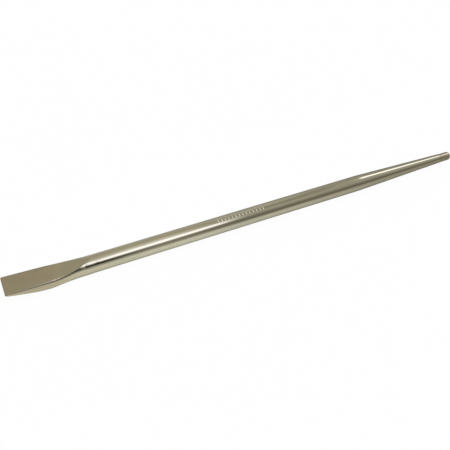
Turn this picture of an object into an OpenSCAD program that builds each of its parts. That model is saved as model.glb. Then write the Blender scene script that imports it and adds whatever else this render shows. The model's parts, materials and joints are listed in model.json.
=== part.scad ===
// Straight line-up pry bar: one forged and plated steel bar with a flat chisel
// blade at one end and a blunt tapered point at the other.
//
// Millimetres. +X runs along the bar from the chisel edge to the point, +Z is
// the side of the flat blade face, and the origin is on the shank's axis,
// halfway along the bar. Distances called "from the edge" start at the chisel
// edge and grow towards the point.

/* [Bar] */
// Overall length, from the chisel edge to the end of the point
bar_length = 381; // [300:1:600]
// Diameter of the round shank
shank_d = 12.7; // [11:0.1:15]

/* [Chisel blade] */
// Width of the blade, from side to side
blade_width = 15.6; // [15:0.1:18]
// Length of the flat face, from the edge to where it starts to rise
face_length = 35.5; // [30:0.1:40]
// Length over which the face rises to the top of the round shank
face_run_out = 23; // [16:0.1:28]
// Distance from the edge at which the blade's body starts to turn round
body_length = 29; // [24:0.1:34]
// Length over which the blade's body turns into the round shank
body_run_out = 23.5; // [16:0.1:30]
// Radius along the crease between the rising face and the round body
crease_rounding = 0.7; // [0.3:0.05:0.9]
// Distance from the edge at which the underside starts to drop
underside_length = 33.2; // [28:0.1:40]
// Length over which the underside drops to the round shank
underside_run_out = 22; // [14:0.5:25]
// Height of the slight swell left where the forging ends, on each side
swell = 0.15; // [0:0.05:0.3]
// Height of the flat face above the axis, at the edge
face_height = 4.75; // [4:0.05:5.2]
// Slope of the flat face, which falls from the edge towards the shank
face_tilt = 1.3; // [0.5:0.1:2]
// Depth of the blade's underside below the axis, behind the bevel
underside_depth = 3.9; // [3.5:0.1:5]
// Angle of the ground bevel under the edge
bevel_angle = 16.7; // [15:0.1:20]
// Length over which the bevel curves into the underside
bevel_blend_length = 16.5; // [8:0.5:20]
// Thickness of the chisel edge
edge_thickness = 1.1; // [1:0.05:2]
// Length of the honed lip, which thins the edge from below
lip_length = 6.5; // [3:0.5:10]
// How much the honed lip takes off below the edge
lip_rise = 0.5; // [0:0.05:0.8]
// Radius of the rounding along the chisel edge
edge_rounding = 0.6; // [0.4:0.05:0.6]
// Radius of the blade's corners, seen from above
corner_rounding = 1; // [0.5:0.1:2]
// Radius of the blade's long edges beside the chisel edge
long_edge_start = 0.55; // [0.3:0.05:0.6]
// Radius of the blade's long edges where its body starts to turn round
long_edge_end = 2.2; // [1:0.1:3]

/* [Point] */
// Distance from the edge to the start of the taper
taper_start = 281.5; // [180:0.5:290]
// Radius that softens the shoulder where the taper starts
shoulder_radius = 180; // [60:5:400]
// Diameter of the taper where it meets the nose
taper_end_d = 7.55; // [6:0.05:9]
// Diameter of the straight nose
nose_d = 7.2; // [5:0.05:8]
// Length of the straight nose
nose_length = 11.3; // [6:0.1:16]
// Rounding of the nose's end
nose_rounding = 1.2; // [0.3:0.1:2]

/* [Stamped ticks] */
// Number of plain ticks stamped in a row on top of the shank
tick_count = 14; // [2:1:16]
// Distance from one tick to the next
tick_pitch = 2.9; // [2:0.1:3.5]
// Width of one tick, along the bar
tick_width = 0.8; // [0.4:0.1:1.2]
// Length of one tick, across the bar
tick_length = 4.6; // [3:0.1:6]
// Depth of the ticks
tick_depth = 0.2; // [0.1:0.05:0.3]
// Distance from the edge to the middle of the row
tick_row_centre = 172; // [120:1:230]

/* [Hidden] */
$fn = 96;
steel_colour = [0.70, 0.68, 0.60];

// Where the edge lies in the part's own frame
edge_x = -bar_length / 2;
shank_r = shank_d / 2;
nose_r = nose_d / 2;

// Stations along the bar, as distances from the edge
swell_x = body_length + body_run_out;
swell_reach = 8;
root_x = swell_x + swell_reach;
nose_start = bar_length - nose_length;

// The bevel is a plane, then a parabola that ends level with the underside
bevel_slope = tan(bevel_angle);
edge_underside = face_height - edge_thickness - lip_rise;
blend_drop = bevel_slope * bevel_blend_length / 2;
blend_start = (edge_underside + underside_depth - blend_drop) / bevel_slope;

// The blade is at its full width up to here
full_width_length = body_length + 1;

// The blade's last ring lies inside the shank, clear of its surface
ring_clearance = 0.02;
ring_overlap = 0.6;
corner_steps = 12;

// Smooth step from 0 to 1
function ease(t) = let (u = min(max(t, 0), 1)) u * u * (3 - 2 * u);
function mix(a, b, t) = a + (b - a) * t;

// How much a rounding of radius r takes off, at a distance d from the end
function rounded_off(r, d) = d < r ? r - sqrt(r * r - (r - d) * (r - d)) : 0;

function face_z(x) = face_height - x * tan(face_tilt);
function bevel_z(x) =
    x < blend_start ? edge_underside - bevel_slope * x
    : let (rest = max(blend_start + bevel_blend_length - x, 0))
        -underside_depth + bevel_slope * rest * rest / (2 * bevel_blend_length);
function lip(x) = lip_rise * pow(max(1 - x / lip_length, 0), 2);
function swelling(x) = swell * ease(1 - abs(x - swell_x) / swell_reach);

// Section of the chisel end at a distance x from the edge. The body is a
// rectangle with round corners that turns into the round shank. The flat face
// cuts across its top, with a small rounding along the crease between them.
function half_width(x) =
    mix(blade_width / 2, shank_r,
        ease((x - full_width_length) / (swell_x - full_width_length)))
    + swelling(x) - rounded_off(corner_rounding, x);
function top_z(x) =
    mix(face_z(x), shank_r, ease((x - face_length) / face_run_out))
    - rounded_off(edge_rounding, x);
function body_top_z(x) =
    mix(face_z(x), shank_r, ease((x - body_length) / body_run_out))
    - rounded_off(edge_rounding, x);
function bottom_z(x) =
    mix(bevel_z(x) + lip(x), -shank_r, ease((x - underside_length) / underside_run_out))
    + rounded_off(edge_rounding, x) / 2;
function corner_r(x) =
    x < body_length
        ? min(mix(long_edge_start, long_edge_end, x / body_length),
            0.45 * (top_z(x) - bottom_z(x)))
        : mix(long_edge_end, shank_r, min((x - body_length) / body_run_out, 1));

// Distances from the edge at which the chisel end has a ring of points
edge_stations = [0, 0.05, 0.2, 0.42, 0.7, 1.05];
blade_stations = [for (x = [2 : 2.1 : body_length - 1]) x];
run_out_rings = 28;
run_out_stations = [
    for (i = [0 : run_out_rings])
        mix(body_length, root_x, i / run_out_rings)
];
stations = concat(edge_stations, blade_stations, run_out_stations, [root_x + ring_overlap]);

// One ring of points around +X: each upper corner is the crease's rounding and
// then the body's own arc, and each lower corner is one arc
function ring(x) = let (
    gap = x < root_x - 0.01 ? 0 : ring_clearance,
    w = half_width(x) - gap,
    top = top_z(x) - gap,
    bottom = bottom_z(x) + gap,
    r = min(corner_r(x) - gap, w),
    centre = body_top_z(x) - gap - r,
    crease_r = min(crease_rounding, 0.8 * r),
    crease_angle = acos(min(1, (top - crease_r - centre) / (r - crease_r))),
    crease_y = w - r + (r - crease_r) * sin(crease_angle),
    lower_r = min(r, centre - bottom)
) [
    for (corner = [0 : 3], i = [0 : corner_steps - 1]) let (
        angle = 90 * (corner + (i + 0.5) / corner_steps),
        side = corner == 0 || corner == 3 ? 1 : -1,
        lower = corner > 1,
        crease = !lower && abs(90 - angle) < crease_angle,
        arc_r = lower ? lower_r : crease ? crease_r : r,
        arc_y = lower ? w - lower_r : crease ? crease_y : w - r,
        arc_z = lower ? bottom + lower_r : crease ? top - crease_r : centre
    ) [edge_x + x, side * arc_y + arc_r * cos(angle), arc_z + arc_r * sin(angle)]
];

module chisel_end() {
    ring_size = 4 * corner_steps;
    last = len(stations) - 1;
    polyhedron(
        points = [for (x = stations) each ring(x)],
        faces = concat(
            [[for (i = [0 : ring_size - 1]) i]],
            [for (k = [0 : last - 1], i = [0 : ring_size - 1], half = [0, 1]) let (
                a = k * ring_size + i,
                b = k * ring_size + (i + 1) % ring_size
            ) half == 0 ? [a, a + ring_size, b] : [b, a + ring_size, b + ring_size]],
            [[for (i = [ring_size - 1 : -1 : 0]) last * ring_size + i]]
        ),
        convexity = 4
    );
}

// Radius of the point where its shoulder has been softened, at a distance x
// from the edge: a straight taper with an arc tangent to the shank and to it
taper_slope = (shank_r - taper_end_d / 2) / (nose_start - taper_start);
shoulder_reach = shoulder_radius * tan(atan(taper_slope) / 2);
shoulder_steps = 8;
function shoulder_point(i) = let (angle = atan(taper_slope) * i / shoulder_steps) [
    taper_start - shoulder_reach + shoulder_radius * sin(angle),
    shank_r - shoulder_radius * (1 - cos(angle))
];

// Outline of the round part, as [distance from the edge, radius]
round_outline = concat(
    [[root_x, 0], [root_x, shank_r]],
    [for (i = [0 : shoulder_steps]) shoulder_point(i)],
    [[nose_start, taper_end_d / 2], [nose_start + 0.5, nose_r]],
    [for (i = [0 : 8]) [
        bar_length - nose_rounding * (1 - sin(90 * i / 8)),
        nose_r - nose_rounding * (1 - cos(90 * i / 8))
    ]],
    [[bar_length, 0]]
);

// Turns an outline of [x, radius] about the X axis
module turned(outline) {
    translate([edge_x, 0, 0])
        rotate([0, 90, 0])
            rotate_extrude()
                polygon([for (p = outline) [p[1], p[0]]]);
}

// A row of plain ticks, each as deep all along its length
module stamped_ticks() {
    first = tick_row_centre - (tick_count - 1) * tick_pitch / 2;
    for (i = [0 : tick_count - 1]) {
        middle = first + i * tick_pitch;
        intersection() {
            turned([
                [middle - tick_width / 2, shank_r - tick_depth],
                [middle - tick_width / 2, shank_r + 1],
                [middle + tick_width / 2, shank_r + 1],
                [middle + tick_width / 2, shank_r - tick_depth]
            ]);
            translate([edge_x + middle - tick_width, -tick_length / 2, 0])
                cube([2 * tick_width, tick_length, shank_d]);
        }
    }
}

// The whole bar, forged from one length of round steel
module bar() {
    color(steel_colour)
        difference() {
            union() {
                chisel_end();
                turned(round_outline);
            }
            stamped_ticks();
        }
}

bar();
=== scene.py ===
# Looks of the line-up pry bar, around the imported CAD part. The bar is one solid
# piece of plated steel, so one smooth mesh stands for its one CAD node, with
# the same shape, finer edges and a plated finish.
#
# Lengths in this script are millimetres until the mesh is written, in metres.
# A station is a distance along the bar from the chisel edge.

import json
from math import acos, atan, cos, pi, radians, sin, sqrt, tan

import bpy
import numpy as np
from mathutils import Matrix, Vector


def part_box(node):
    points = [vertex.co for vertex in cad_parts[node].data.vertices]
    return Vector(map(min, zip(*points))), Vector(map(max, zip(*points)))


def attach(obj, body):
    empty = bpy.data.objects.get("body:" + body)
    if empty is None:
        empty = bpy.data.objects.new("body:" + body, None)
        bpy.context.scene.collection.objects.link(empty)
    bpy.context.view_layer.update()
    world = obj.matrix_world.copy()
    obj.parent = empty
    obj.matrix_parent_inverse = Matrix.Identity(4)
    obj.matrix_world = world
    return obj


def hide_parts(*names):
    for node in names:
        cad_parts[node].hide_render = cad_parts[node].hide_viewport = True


MM = 0.001

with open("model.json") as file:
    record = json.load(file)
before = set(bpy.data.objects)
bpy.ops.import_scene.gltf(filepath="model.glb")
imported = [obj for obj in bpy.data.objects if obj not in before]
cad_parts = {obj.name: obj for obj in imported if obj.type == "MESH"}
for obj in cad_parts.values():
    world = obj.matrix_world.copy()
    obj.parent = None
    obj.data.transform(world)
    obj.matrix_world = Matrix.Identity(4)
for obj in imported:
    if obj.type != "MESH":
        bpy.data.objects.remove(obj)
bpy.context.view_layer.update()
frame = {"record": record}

# ---------------------------------------------------------------- sizes

low, high = (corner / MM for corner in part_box("bar"))
mounts = {mount["name"]: mount for mount in frame["record"]["mounts"]}

EDGE_X = low.x
BAR_LENGTH = high.x - low.x
BLADE_WIDTH = high.y - low.y
SHANK_R = mounts["shank"]["dims"]["r_mm"]
NOSE_R = mounts["nose"]["dims"]["r_mm"]

# The flat face: a plane through the blade_face mount
face_point = Vector(mounts["blade_face"]["pos_m"]) / MM
face_normal = Vector(mounts["blade_face"]["axis"])
FACE_SLOPE = face_normal.x / face_normal.z
FACE_HEIGHT = face_point.z + (face_point.x - EDGE_X) * FACE_SLOPE

# Chisel end
FACE_LENGTH = 35.5
FACE_RUN_OUT = 23
BODY_LENGTH = 29
BODY_RUN_OUT = 23.5
FULL_WIDTH_LENGTH = BODY_LENGTH + 1
CREASE_ROUNDING = 0.7
UNDERSIDE_LENGTH = 33.2
UNDERSIDE_RUN_OUT = 22
SWELL = 0.15
SWELL_X = BODY_LENGTH + BODY_RUN_OUT
SWELL_REACH = 8
ROOT = SWELL_X + SWELL_REACH
UNDERSIDE_DEPTH = 3.9
BEVEL_ANGLE = 16.7
BEVEL_SLOPE = tan(radians(BEVEL_ANGLE))
BEVEL_BLEND_LENGTH = 16.5
EDGE_THICKNESS = 1.1
LIP_LENGTH = 6.5
LIP_RISE = 0.5
EDGE_ROUNDING = 0.6
CORNER_ROUNDING = 1.0
LONG_EDGE_START = 0.55
LONG_EDGE_END = 2.2
EDGE_UNDERSIDE = FACE_HEIGHT - EDGE_THICKNESS - LIP_RISE
BLEND_DROP = BEVEL_SLOPE * BEVEL_BLEND_LENGTH / 2
BLEND_START = (EDGE_UNDERSIDE + UNDERSIDE_DEPTH - BLEND_DROP) / BEVEL_SLOPE

# Point
TAPER_START = 281.5
TAPER_END_R = 7.55 / 2
SHOULDER_RADIUS = 180
NOSE_LENGTH = 11.3
NOSE_START = BAR_LENGTH - NOSE_LENGTH
NOSE_STEP = 0.5
NOSE_ROUNDING = 1.2
TAPER_SLOPE = (SHANK_R - TAPER_END_R) / (NOSE_START - TAPER_START)
SHOULDER_REACH = SHOULDER_RADIUS * tan(atan(TAPER_SLOPE) / 2)

# The row of plain stamped ticks, with walls that slope a little
TICK_COUNT = 14
TICK_PITCH = 2.9
TICK_WIDTH = 0.8
TICK_LENGTH = 4.6
TICK_DEPTH = 0.2
TICK_ROW_CENTRE = 172
TICK_WALL = 0.12
FIRST_TICK = TICK_ROW_CENTRE - (TICK_COUNT - 1) * TICK_PITCH / 2

# How far apart the mesh's rings lie on each stretch of the bar
BLADE_SPACING = 0.6
RUN_OUT_SPACING = 0.35
SHANK_SPACING = 2.5
SHOULDER_SPACING = 0.5
TAPER_SPACING = 2.0
NOSE_SPACING = 0.9
ARC_STEPS = 8
TICK_WALL_STEPS = 3
NOSE_STEP_STEPS = 6


# ---------------------------------------------------------------- shape

def ease(t):
    """Smooth step from 0 to 1."""
    t = min(max(t, 0), 1)
    return t * t * (3 - 2 * t)


def mix(a, b, t):
    return a + (b - a) * t


def rounded_off(radius, distance):
    """What a rounding takes off at a distance from the end it rounds."""
    missing = min(max(radius - distance, 0), radius)
    return radius - sqrt(radius ** 2 - missing ** 2)


def bevel_z(x):
    """Height of the underside: a ground plane, then a curve to its full depth."""
    if x < BLEND_START:
        return EDGE_UNDERSIDE - BEVEL_SLOPE * x
    rest = max(BLEND_START + BEVEL_BLEND_LENGTH - x, 0)
    return -UNDERSIDE_DEPTH + BEVEL_SLOPE * rest ** 2 / (2 * BEVEL_BLEND_LENGTH)


class Section:
    """The bar's section at a station: a body with round corners, and the flat
    face that cuts across its top, with a small rounding along the crease."""

    def __init__(self, half_width, top, body_top, bottom, radius):
        self.half_width = half_width
        self.top = top
        self.bottom = bottom
        self.radius = radius
        self.centre = body_top - radius
        self.crease_r = min(CREASE_ROUNDING, 0.8 * radius)
        cut = (top - self.crease_r - self.centre) / (radius - self.crease_r)
        self.crease_angle = acos(min(1, cut))
        self.crease_y = half_width - radius + (radius - self.crease_r) * sin(self.crease_angle)
        self.lower_r = min(radius, self.centre - bottom)

    def along_corner(self, angle):
        """Length of the upper corner up to where its surface has turned by angle."""
        return self.crease_r * min(angle, self.crease_angle) + self.radius * max(
            angle - self.crease_angle, 0
        )


def chisel_section(x):
    widening = ease((x - FULL_WIDTH_LENGTH) / (SWELL_X - FULL_WIDTH_LENGTH))
    swell = SWELL * ease(1 - abs(x - SWELL_X) / SWELL_REACH)
    half_width = mix(BLADE_WIDTH / 2, SHANK_R, widening) + swell
    half_width -= rounded_off(CORNER_ROUNDING, x)

    face = FACE_HEIGHT - FACE_SLOPE * x
    lip = LIP_RISE * max(1 - x / LIP_LENGTH, 0) ** 2
    drop = ease((x - UNDERSIDE_LENGTH) / UNDERSIDE_RUN_OUT)
    edge_cut = rounded_off(EDGE_ROUNDING, x)
    top = mix(face, SHANK_R, ease((x - FACE_LENGTH) / FACE_RUN_OUT)) - edge_cut
    body_top = mix(face, SHANK_R, ease((x - BODY_LENGTH) / BODY_RUN_OUT)) - edge_cut
    bottom = mix(bevel_z(x) + lip, -SHANK_R, drop) + edge_cut / 2

    if x < BODY_LENGTH:
        radius = mix(LONG_EDGE_START, LONG_EDGE_END, x / BODY_LENGTH)
        radius = min(radius, 0.45 * (top - bottom))
    else:
        radius = mix(LONG_EDGE_END, SHANK_R, min((x - BODY_LENGTH) / BODY_RUN_OUT, 1))
    return Section(half_width, top, body_top, bottom, radius)


def round_radius(x):
    """Radius of the round part of the bar at a station."""
    past_shoulder = x - (TAPER_START - SHOULDER_REACH)
    if past_shoulder <= 0:
        return SHANK_R
    if past_shoulder < SHOULDER_RADIUS * sin(atan(TAPER_SLOPE)):
        return SHANK_R - SHOULDER_RADIUS + sqrt(SHOULDER_RADIUS ** 2 - past_shoulder ** 2)
    if x <= NOSE_START:
        return SHANK_R - TAPER_SLOPE * (x - TAPER_START)
    if x <= NOSE_START + NOSE_STEP:
        return mix(TAPER_END_R, NOSE_R, ease((x - NOSE_START) / NOSE_STEP))
    return NOSE_R - rounded_off(NOSE_ROUNDING, BAR_LENGTH - x)


def section(x):
    if x < ROOT:
        return chisel_section(x)
    radius = round_radius(x)
    return Section(radius, radius, radius, -radius, radius)


# Columns of the mesh, as angles from the top of the bar to its bottom. They lie
# closer together beside the ends of the ticks.
tick_angle = TICK_LENGTH / 2 / SHANK_R
wall_angle = TICK_WALL / SHANK_R
quarter = [radians(2 * i) for i in range(46)]
quarter = [a for a in quarter if abs(a - tick_angle) > 1.6 * wall_angle]
quarter += [tick_angle + wall_angle * step for step in (-1, -0.5, 0, 0.5)]
quarter = sorted(quarter)
HALF_COLUMNS = np.array(quarter + [pi - a for a in reversed(quarter[:-1])])

# On the blade, these columns fall where its flats and its corners meet. The
# second and third hold the crease between them.
SEAM_ANGLES = [radians(a) for a in (0, 33, 41, 66, 114, 144, 180)]
LEAST_CREASE = radians(20)
EVEN_START = 50
EVEN_END = 64


def half_ring(x):
    """Points down one side of the section at a station, from top to bottom."""
    cut = section(x)
    held = cut.along_corner(max(cut.crease_angle, LEAST_CREASE))
    corner = cut.along_corner(pi / 2)
    side = cut.centre - cut.bottom - cut.lower_r
    lower_arc = cut.lower_r * pi / 2
    lower_flat = cut.half_width - cut.lower_r
    lengths = [0, cut.crease_y, held, corner - held, side, lower_arc, lower_flat]
    seams = np.cumsum(lengths)
    on_blade = np.interp(HALF_COLUMNS, SEAM_ANGLES, seams)
    on_shank = HALF_COLUMNS / pi * seams[-1]
    evenness = ease((x - EVEN_START) / (EVEN_END - EVEN_START))
    travelled = mix(on_blade, on_shank, evenness)

    # The upper corner, by the angle that its surface has turned through
    turned = np.clip(travelled - seams[1], 0, corner)
    crease = cut.crease_r * cut.crease_angle
    in_crease = turned < crease
    angle = np.where(
        in_crease, turned / cut.crease_r, cut.crease_angle + (turned - crease) / cut.radius
    )
    arc_r = np.where(in_crease, cut.crease_r, cut.radius)
    arc_y = np.where(in_crease, cut.crease_y, cut.half_width - cut.radius)
    arc_z = np.where(in_crease, cut.top - cut.crease_r, cut.centre)
    y = arc_y + arc_r * np.sin(angle)
    z = arc_z + arc_r * np.cos(angle)
    on_face = travelled < seams[1]
    y = np.where(on_face, travelled, y)
    z = np.where(on_face, cut.top, z)

    # Down the side, around the lower corner and across the underside
    down_side = np.clip(travelled - seams[3], 0, side)
    lower = np.clip((travelled - seams[4]) / cut.lower_r, 0, pi / 2)
    across_bottom = np.clip(travelled - seams[5], 0, lower_flat)
    y -= cut.lower_r * (1 - np.cos(lower)) + across_bottom
    z -= down_side + cut.lower_r * np.sin(lower)
    return y, z


def tick_depths(x):
    """How deep the ticks cut into one side of the ring at a station."""
    number = min(max(round((x - FIRST_TICK) / TICK_PITCH), 0), TICK_COUNT - 1)
    nearest = FIRST_TICK + TICK_PITCH * number
    along = ease((TICK_WIDTH / 2 - abs(x - nearest)) / TICK_WALL)
    across = np.clip((tick_angle - HALF_COLUMNS) / wall_angle, 0, 1)
    return TICK_DEPTH * along * across ** 2 * (3 - 2 * across)


def spaced(start, end, step):
    """Evenly spaced stations from start up to, but not at, end."""
    count = max(1, round((end - start) / step))
    return [start + (end - start) * i / count for i in range(count)]


def along_rounding(radius):
    """Distances from an end at which its rounding has rings, closest at the end."""
    return [radius * (1 - cos(pi / 2 * i / ARC_STEPS)) for i in range(ARC_STEPS + 1)]


def tick_stations(middle):
    """Stations at the walls and the floor of a tick, and beside it."""
    wall = [
        TICK_WIDTH / 2 - TICK_WALL * k / TICK_WALL_STEPS
        for k in range(TICK_WALL_STEPS + 1)
    ]
    beside = [TICK_PITCH / 2, 0.75 * TICK_WIDTH]
    before = [middle - reach for reach in wall + beside]
    after = [middle + reach for reach in wall + [0.75 * TICK_WIDTH]]
    return before + [middle] + after


def all_stations():
    """Every station that has a ring of points, from the edge to the point."""
    shoulder_start = TAPER_START - SHOULDER_REACH
    shoulder_end = TAPER_START + SHOULDER_REACH
    nose_full = NOSE_START + NOSE_STEP
    nose_turn = BAR_LENGTH - NOSE_ROUNDING
    row_start = FIRST_TICK - TICK_PITCH / 2
    row_end = row_start + TICK_COUNT * TICK_PITCH

    stations = along_rounding(EDGE_ROUNDING) + along_rounding(CORNER_ROUNDING)
    stations += spaced(1.3 * CORNER_ROUNDING, BODY_LENGTH - 1, BLADE_SPACING)
    stations += spaced(BODY_LENGTH - 1, ROOT, RUN_OUT_SPACING)
    stations += spaced(ROOT, row_start, SHANK_SPACING)
    for i in range(TICK_COUNT):
        stations += tick_stations(FIRST_TICK + i * TICK_PITCH)
    stations += spaced(row_end, shoulder_start, SHANK_SPACING)
    stations += spaced(shoulder_start, shoulder_end, SHOULDER_SPACING)
    stations += spaced(shoulder_end, NOSE_START, TAPER_SPACING)
    stations += spaced(NOSE_START, nose_full, NOSE_STEP / NOSE_STEP_STEPS)
    stations += spaced(nose_full, nose_turn, NOSE_SPACING)
    stations += [BAR_LENGTH - distance for distance in along_rounding(NOSE_ROUNDING)]
    return sorted(set(round(x, 4) for x in stations))


def bar_mesh():
    """The whole bar as one closed mesh of quads, in metres."""
    points = []
    half = len(HALF_COLUMNS)
    around = 2 * half - 2
    stations = all_stations()
    for x in stations:
        y, z = half_ring(x)
        cut = tick_depths(x) / SHANK_R
        y, z = y * (1 - cut), z * (1 - cut)
        side_a = [(EDGE_X + x, y[i], z[i]) for i in range(half)]
        side_b = [(EDGE_X + x, -y[i], z[i]) for i in range(half - 2, 0, -1)]
        points += side_a + side_b

    faces = []
    for ring in range(len(stations) - 1):
        base = ring * around
        for i in range(around):
            j = (i + 1) % around
            faces.append((base + i, base + j, base + around + j, base + around + i))

    # Both ends are closed with quads that join one side to the other
    last = (len(stations) - 1) * around
    for i in range(half - 1):
        a, b = i, i + 1
        c, d = (around - b) % around, (around - a) % around
        near_end = list(dict.fromkeys((a, d, c, b)))
        faces.append(near_end)
        faces.append([last + n for n in reversed(near_end)])

    mesh = bpy.data.meshes.new("pry_bar")
    mesh.from_pydata([tuple(c * MM for c in p) for p in points], [], faces)
    mesh.validate()
    mesh.update()
    mesh.shade_smooth()
    return mesh


# ---------------------------------------------------------------- material

# The blade is satin from its grinding up to where it turns round, and its flanks
# are brighter than its face and its underside. The nose is satin all around.
SATIN_END = 27
SATIN_FADE = 20
NOSE_SATIN = 0.8
NOSE_FADE = 1.5
SATIN_ANGLES = [radians(a) for a in (66, 80, 114, 144)]
SATIN_AMOUNTS = [1, 0.35, 0.35, 1]
# Painted shade: the blade's long upper edges are coloured darker still, to tone down the light they
# catch
EDGE_SHADE_END = 27
EDGE_SHADE_FADE = 7
EDGE_SHADE_ANGLES = [radians(a) for a in (36, 40, 49, 56)]
EDGE_SHADE_AMOUNTS = [0, 1, 1, 0]


def finish_layers():
    """How satin, how darkened by painted shade and how deep in a tick every point of the mesh is.
    """
    layers = {"satin": [], "edge_shade": [], "stamped": []}
    satin_around = np.interp(HALF_COLUMNS, SATIN_ANGLES, SATIN_AMOUNTS)
    edge_shade_around = np.interp(HALF_COLUMNS, EDGE_SHADE_ANGLES, EDGE_SHADE_AMOUNTS)
    for x in all_stations():
        on_nose = ease((x - NOSE_START + NOSE_FADE) / NOSE_FADE)
        side = {
            "satin": (1 - ease((x - SATIN_END) / SATIN_FADE)) * satin_around + NOSE_SATIN * on_nose,
            "edge_shade": (1 - ease((x - EDGE_SHADE_END) / EDGE_SHADE_FADE)) * edge_shade_around,
            "stamped": tick_depths(x) / TICK_DEPTH,
        }
        for name, amounts in side.items():
            layers[name] += [*amounts, *amounts[-2:0:-1]]
    return layers


# Colours and roughnesses of the finishes, with the painted shade on the blade's upper edges and
# along the bar's outline
POLISHED = (0.524, 0.503, 0.388, 1)
SATIN = (0.470, 0.425, 0.312, 1)
# Painted shade: the darker colour of the blade's long upper edges
EDGE_SHADE = (0.345, 0.315, 0.235, 1)
STAMPED = (0.86, 0.83, 0.72, 1)
# Painted shade: a grey edge tint darkens the steel's reflections near its outline, where the bar
# mirrors shade
GRAZING_SHADE = (0.45, 0.45, 0.45, 1)
POLISHED_ROUGHNESS = (0.045, 0.085)
SATIN_ROUGHNESS = (0.24, 0.31)
STAMPED_ROUGHNESS = 0.3

# How the steel's colour varies, as factors on it
COOL_TINT = (0.975, 0.988, 0.965, 1)
WARM_TINT = (1.04, 1.0, 0.985, 1)
SHADE_RANGE = (0.95, 1.04)
DRAWN_RANGE = (0.972, 1.024)

# Noise over the steel: waves per metre along and around the bar, and finer layers
CLOUDS = ((70, 150, 150), 3)
TINT_CLOUDS = ((45, 90, 90), 1)
STREAKS = ((15, 650, 650), 4)
SPECKS = ((900, 900, 900), 2)
WAVES = ((55, 130, 130), 0)
# Depth of the relief that they make
WAVE_HEIGHT = 0.05
STREAK_HEIGHT = 0.006
SPECK_HEIGHT = 0.008


def plated_steel():
    """Nickel plate: bright and drawn along the shank, satin on the blade."""
    material = bpy.data.materials.new("plated_steel")
    material.use_nodes = True
    nodes = material.node_tree.nodes
    link = material.node_tree.links.new
    shader = nodes["Principled BSDF"]
    shader.inputs["Metallic"].default_value = 1.0
    # Painted shade: the grazing tint darkens reflections along the bar's outline
    shader.inputs["Specular Tint"].default_value = GRAZING_SHADE
    position = nodes.new("ShaderNodeTexCoord").outputs["Object"]

    def layer(name):
        node = nodes.new("ShaderNodeAttribute")
        node.attribute_name = name
        return node.outputs["Fac"]

    def noise(stretch, detail):
        """Noise from 0 to 1, by its number of waves per metre on each axis."""
        mapping = nodes.new("ShaderNodeMapping")
        mapping.inputs["Scale"].default_value = stretch
        link(position, mapping.inputs["Vector"])
        node = nodes.new("ShaderNodeTexNoise")
        node.inputs["Scale"].default_value = 1.0
        node.inputs["Detail"].default_value = detail
        link(mapping.outputs["Vector"], node.inputs["Vector"])
        return node.outputs["Fac"]

    def ranged(value, low_end, high_end):
        """Spreads the middle half of a noise over a range."""
        node = nodes.new("ShaderNodeMapRange")
        node.inputs["From Min"].default_value = 0.25
        node.inputs["From Max"].default_value = 0.75
        node.inputs["To Min"].default_value = low_end
        node.inputs["To Max"].default_value = high_end
        link(value, node.inputs["Value"])
        return node.outputs["Result"]

    def blend(kind, factor, first, second):
        """Mix of two colours or two numbers, each a constant or a socket."""
        node = nodes.new("ShaderNodeMix")
        node.data_type = kind
        link(factor, node.inputs["Factor"])
        sockets = [s for s in node.inputs if s.enabled and s.name in "AB"]
        for socket, value in zip(sockets, (first, second)):
            if hasattr(value, "node"):
                link(value, socket)
            else:
                socket.default_value = value
        return [s for s in node.outputs if s.enabled][0]

    clouds = noise(*CLOUDS)
    tint_clouds = noise(*TINT_CLOUDS)
    streaks = noise(*STREAKS)
    specks = noise(*SPECKS)
    waves = noise(*WAVES)

    satin = layer("satin")
    stamped = layer("stamped")

    colour = blend("RGBA", satin, POLISHED, SATIN)
    # Painted shade darkens the blade's long upper edges
    colour = blend("RGBA", layer("edge_shade"), colour, EDGE_SHADE)
    colour = blend("RGBA", stamped, colour, STAMPED)
    warmth = blend("RGBA", ranged(tint_clouds, 0, 1), COOL_TINT, WARM_TINT)
    shade = blend("FLOAT", ranged(clouds, 0, 1), *SHADE_RANGE)
    drawn = blend("FLOAT", ranged(streaks, 0, 1), *DRAWN_RANGE)
    for tint in (warmth, shade, drawn):
        node = nodes.new("ShaderNodeVectorMath")
        node.operation = "MULTIPLY"
        link(colour, node.inputs[0])
        link(tint, node.inputs[1])
        colour = node.outputs[0]
    link(colour, shader.inputs["Base Color"])

    rough_polished = ranged(streaks, *POLISHED_ROUGHNESS)
    rough_satin = ranged(clouds, *SATIN_ROUGHNESS)
    roughness = blend("FLOAT", satin, rough_polished, rough_satin)
    roughness = blend("FLOAT", stamped, roughness, STAMPED_ROUGHNESS)
    link(roughness, shader.inputs["Roughness"])

    def bump(height, depth, strength, below):
        """Relief of a depth in millimetres, on top of the relief below it."""
        node = nodes.new("ShaderNodeBump")
        node.inputs["Distance"].default_value = depth * MM
        if hasattr(strength, "node"):
            link(strength, node.inputs["Strength"])
        else:
            node.inputs["Strength"].default_value = strength
        link(height, node.inputs["Height"])
        if below:
            link(below, node.inputs["Normal"])
        return node.outputs["Normal"]

    # Slow waves and drawn lines all over, and ground specks where it is satin
    normal = bump(waves, WAVE_HEIGHT, 0.5, None)
    normal = bump(streaks, STREAK_HEIGHT, 0.3, normal)
    normal = bump(specks, SPECK_HEIGHT, satin, normal)
    link(normal, shader.inputs["Normal"])
    return material


bar = bpy.data.objects.new("pry_bar", bar_mesh())
bpy.context.scene.collection.objects.link(bar)
for name, amounts in finish_layers().items():
    layer = bar.data.attributes.new(name, "FLOAT", "POINT")
    layer.data.foreach_set("value", amounts)
bar.data.materials.append(plated_steel())
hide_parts("bar")
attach(bar, "root")


# ---------------------------------------------------------------- floor

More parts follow.
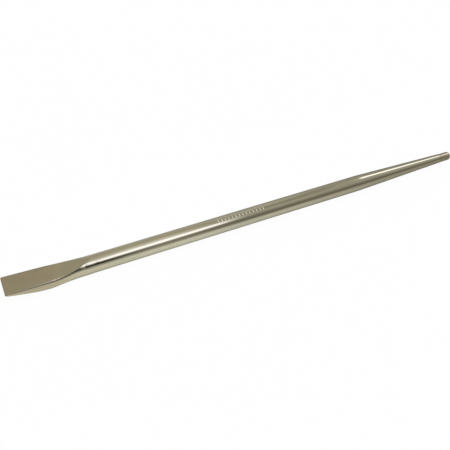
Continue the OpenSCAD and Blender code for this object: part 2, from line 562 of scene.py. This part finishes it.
# Painted light on the table that the bar mirrors, as the table's glow and white: place along the
# table's lit stretch, from before the chisel edge (0) to beyond the point (1), and colour
TABLE_LIGHT = [
    (0.12, (0.90, 0.86, 0.78)),
    (0.36, (0.97, 1.0, 1.0)),
    (0.86, (0.46, 0.44, 0.41)),
]
TABLE_REACH = 1.3
TABLE_HALF_SIZE = 6.0


def floor():
    """A white table. The camera sees it evenly bright, as in a cut-out picture,
    and the bar mirrors it with a painted pool of light, a glow that fades from the chisel end, and
    a contact shadow."""
    size = TABLE_HALF_SIZE
    mesh = bpy.data.meshes.new("floor")
    corners = [(-size, -size), (size, -size), (size, size), (-size, size)]
    mesh.from_pydata([(x, y, low.z * MM) for x, y in corners], [], [(0, 1, 2, 3)])
    material = bpy.data.materials.new("floor")
    material.use_nodes = True
    nodes = material.node_tree.nodes
    link = material.node_tree.links.new

    def table(base, glow):
        """A matt white that reflects and gives off light."""
        shader = nodes.new("ShaderNodeBsdfPrincipled")
        shader.inputs["Roughness"].default_value = 1.0
        shader.inputs["Specular IOR Level"].default_value = 0.0
        shader.inputs["Base Color"].default_value = (base, base, base, 1)
        shader.inputs["Emission Color"].default_value = (1, 1, 1, 1)
        shader.inputs["Emission Strength"].default_value = glow
        return shader

    seen = table(0.08, 0.95)
    mirrored = table(0.8, 0.44)
    place = nodes.new("ShaderNodeSeparateXYZ")
    link(nodes.new("ShaderNodeTexCoord").outputs["Object"], place.inputs[0])
    fade = nodes.new("ShaderNodeValToRGB")
    fade.color_ramp.elements.new(0.5)
    for element, (at, light) in zip(fade.color_ramp.elements, TABLE_LIGHT):
        element.position = at
        element.color = (*light, 1)
    reach = nodes.new("ShaderNodeMapRange")
    reach.inputs["From Min"].default_value = TABLE_REACH * low.x * MM
    reach.inputs["From Max"].default_value = TABLE_REACH * high.x * MM
    link(place.outputs["X"], reach.inputs["Value"])
    link(reach.outputs["Result"], fade.inputs["Fac"])
    # The painted pool of light sets both the glow and the white of the mirrored table
    link(fade.outputs["Color"], mirrored.inputs["Emission Color"])
    link(fade.outputs["Color"], mirrored.inputs["Base Color"])

    mix_shader = nodes.new("ShaderNodeMixShader")
    link(nodes.new("ShaderNodeLightPath").outputs["Is Camera Ray"], mix_shader.inputs["Fac"])
    link(mirrored.outputs["BSDF"], mix_shader.inputs[1])
    link(seen.outputs["BSDF"], mix_shader.inputs[2])
    link(mix_shader.outputs["Shader"], nodes["Material Output"].inputs["Surface"])
    mesh.materials.append(material)
    plane = bpy.data.objects.new("floor", mesh)
    bpy.context.scene.collection.objects.link(plane)


floor()

# ---------------------------------------------------------------- camera

# Where the camera looks from, in degrees: how high it stands over the table, how
# far it has swung towards the chisel end, and how far it is tipped over
ELEVATION = 53.537
SWING = 21.039
TIP = 17.012
LENS = 44.635
SENSOR = 36.0
# How far it stands from its aim, and where along and below the axis it aims
DISTANCE = 416.169
AIM_STATION = 159.147
AIM_DROP = 1.133


def camera():
    data = bpy.data.cameras.new("camera")
    data.lens = LENS
    data.sensor_width = SENSOR
    view = bpy.data.objects.new("camera", data)
    bpy.context.scene.collection.objects.link(view)
    turn = (
        Matrix.Rotation(radians(90 - ELEVATION), 4, "X")
        @ Matrix.Rotation(radians(-SWING), 4, "Y")
    )
    aim = Vector((EDGE_X + AIM_STATION, 0, 0)) - turn @ Vector((0, AIM_DROP, 0))
    place = aim - turn @ Vector((0, 0, -DISTANCE))
    turn = turn @ Matrix.Rotation(radians(-TIP), 4, "Z")
    view.matrix_world = Matrix.Translation(place * MM) @ turn
    bpy.context.scene.camera = view


camera()


# ---------------------------------------------------------------- light

# The studio around the bar, as light from each direction. ACROSS is the angle
# from straight up, over the camera's side of the bar (positive) or its far side,
# and ALONG is the angle towards the point. Degrees.

# Angle across, and the light there at the chisel end's half of the studio
WALLS_NEAR = [
    (-90, (0.70, 0.68, 0.63)),
    (-75, (0.69, 0.67, 0.61)),
    (-60, (0.60, 0.575, 0.51)),
    (-43, (0.64, 0.605, 0.52)),
    (-28, (0.68, 0.645, 0.555)),
    (0, (0.64, 0.61, 0.54)),
    (34, (0.54, 0.52, 0.47)),
    (46, (0.32, 0.315, 0.305)),
    (58, (0.31, 0.305, 0.295)),
    (70, (0.42, 0.415, 0.39)),
    (90, (0.86, 0.85, 0.80)),
]
# The same at the point's half
WALLS_FAR = [
    (-90, (0.55, 0.53, 0.49)),
    (-60, (0.56, 0.545, 0.50)),
    (-38, (0.39, 0.38, 0.345)),
    (-10, (0.42, 0.405, 0.36)),
    (8, (0.55, 0.535, 0.475)),
    (20, (0.58, 0.565, 0.52)),
    (37, (0.40, 0.385, 0.36)),
    (55, (0.27, 0.255, 0.23)),
    (70, (0.20, 0.19, 0.17)),
    (80, (0.35, 0.335, 0.305)),
    (90, (0.56, 0.54, 0.50)),
]
# The angles along at which one half of the studio turns into the other
HALVES_MEET = (11, 27)
# The studio darkens towards the chisel end and again beyond it: the angles along
# between which it does, how much, and the light it darkens to
DARKENING = [
    ((20, -8), 0.4, (0.31, 0.285, 0.24)),
    ((-16, -50), 0.75, (0.12, 0.11, 0.10)),
]
BACKDROP = (0.90, 0.90, 0.90)
# Softboxes and panels, each over the ones before it: angles across, angles along,
# softness of the ends across and along, and light. The first is the dark shape of
# the camera and whoever holds it.
PANELS = [
    ((37.5, 64), (-40, 11), (6, 7), (0.03, 0.03, 0.03)),
    ((-80, -32), (20, 29), (24, 6), (0.66, 0.65, 0.60)),
    ((-4, 36), (-3.5, 5), (8, 3), (0.16, 0.16, 0.14)),
    ((36, 66), (-3.5, 5.5), (5, 2.5), (0.44, 0.43, 0.39)),
    ((-14, 38), (8, 18.5), (34, 8), (1.10, 1.09, 1.14)),
    ((8, 34), (7, 21.5), (7, 4), (1.93, 1.93, 2.30)),
    ((2, 32), (-24, -3.5), (8, 3), (1.9, 1.93, 2.2)),
    ((-40, -2), (33, 60), (14, 6), (0.62, 0.61, 0.57)),
    ((-36, -9.5), (37.2, 60), (5, 4), (2.10, 2.06, 2.32)),
]


def studio():
    world = bpy.data.worlds.new("studio")
    bpy.context.scene.world = world
    world.use_nodes = True
    tree = world.node_tree
    nodes = tree.nodes
    link = tree.links.new

    def math(operation, first, second=0.0):
        node = nodes.new("ShaderNodeMath")
        node.operation = operation
        for socket, value in zip(node.inputs, (first, second)):
            if isinstance(value, (int, float)):
                socket.default_value = value
            else:
                link(value, socket)
        return node.outputs[0]

    def step(angle, start, end):
        """Smooth step from 0 at one angle to 1 at another."""
        node = nodes.new("ShaderNodeMapRange")
        node.interpolation_type = "SMOOTHSTEP"
        link(angle, node.inputs["Value"])
        node.inputs["From Min"].default_value = start
        node.inputs["From Max"].default_value = end
        return node.outputs["Result"]

    def band(angle, start, end, blur):
        """1 between two angles and 0 outside them, blurred at both."""
        rise = step(angle, start - blur / 2, start + blur / 2)
        fall = step(angle, end + blur / 2, end - blur / 2)
        return math("MULTIPLY", rise, fall)

    def walls(angle, stops):
        """Light by angle, from -90 to 90 degrees, blended between the stops."""
        place = math("ADD", math("DIVIDE", angle, 180), 0.5)
        node = nodes.new("ShaderNodeValToRGB")
        link(place, node.inputs["Fac"])
        while len(node.color_ramp.elements) < len(stops):
            node.color_ramp.elements.new(0.5)
        for element, (at, light) in zip(node.color_ramp.elements, stops):
            element.position = (at + 90) / 180
            element.color = (*light, 1)
        return node.outputs["Color"]

    def mixed(factor, first, second):
        """Mix of two colours, each a constant or a socket."""
        node = nodes.new("ShaderNodeMix")
        node.data_type = "RGBA"
        link(factor, node.inputs["Factor"])
        sockets = [s for s in node.inputs if s.type == "RGBA"]
        for socket, value in zip(sockets, (first, second)):
            if isinstance(value, tuple):
                socket.default_value = (*value, 1)
            else:
                link(value, socket)
        return [s for s in node.outputs if s.type == "RGBA"][0]

    direction = nodes.new("ShaderNodeSeparateXYZ")
    link(nodes.new("ShaderNodeTexCoord").outputs["Generated"], direction.inputs[0])
    x, y, z = direction.outputs
    across = math("MULTIPLY", math("ARCTAN2", math("MULTIPLY", y, -1), z), 180 / pi)
    along = math("MULTIPLY", math("ARCSINE", x), 180 / pi)

    near = walls(across, WALLS_NEAR)
    far = walls(across, WALLS_FAR)
    light = mixed(step(along, *HALVES_MEET), near, far)
    for along_ends, amount, darker in DARKENING:
        fade = math("MULTIPLY", step(along, *along_ends), amount)
        light = mixed(fade, light, darker)
    for across_ends, along_ends, (blur_across, blur_along), glow in PANELS:
        columns = band(across, *across_ends, blur_across)
        rows = band(along, *along_ends, blur_along)
        light = mixed(math("MULTIPLY", columns, rows), light, glow)
    # Behind the table the camera sees a plain pale backdrop
    seen = nodes.new("ShaderNodeLightPath").outputs["Is Camera Ray"]
    light = mixed(seen, light, BACKDROP)
    link(light, nodes["Background"].inputs["Color"])


studio()
bpy.context.scene.view_settings.view_transform = "Standard"
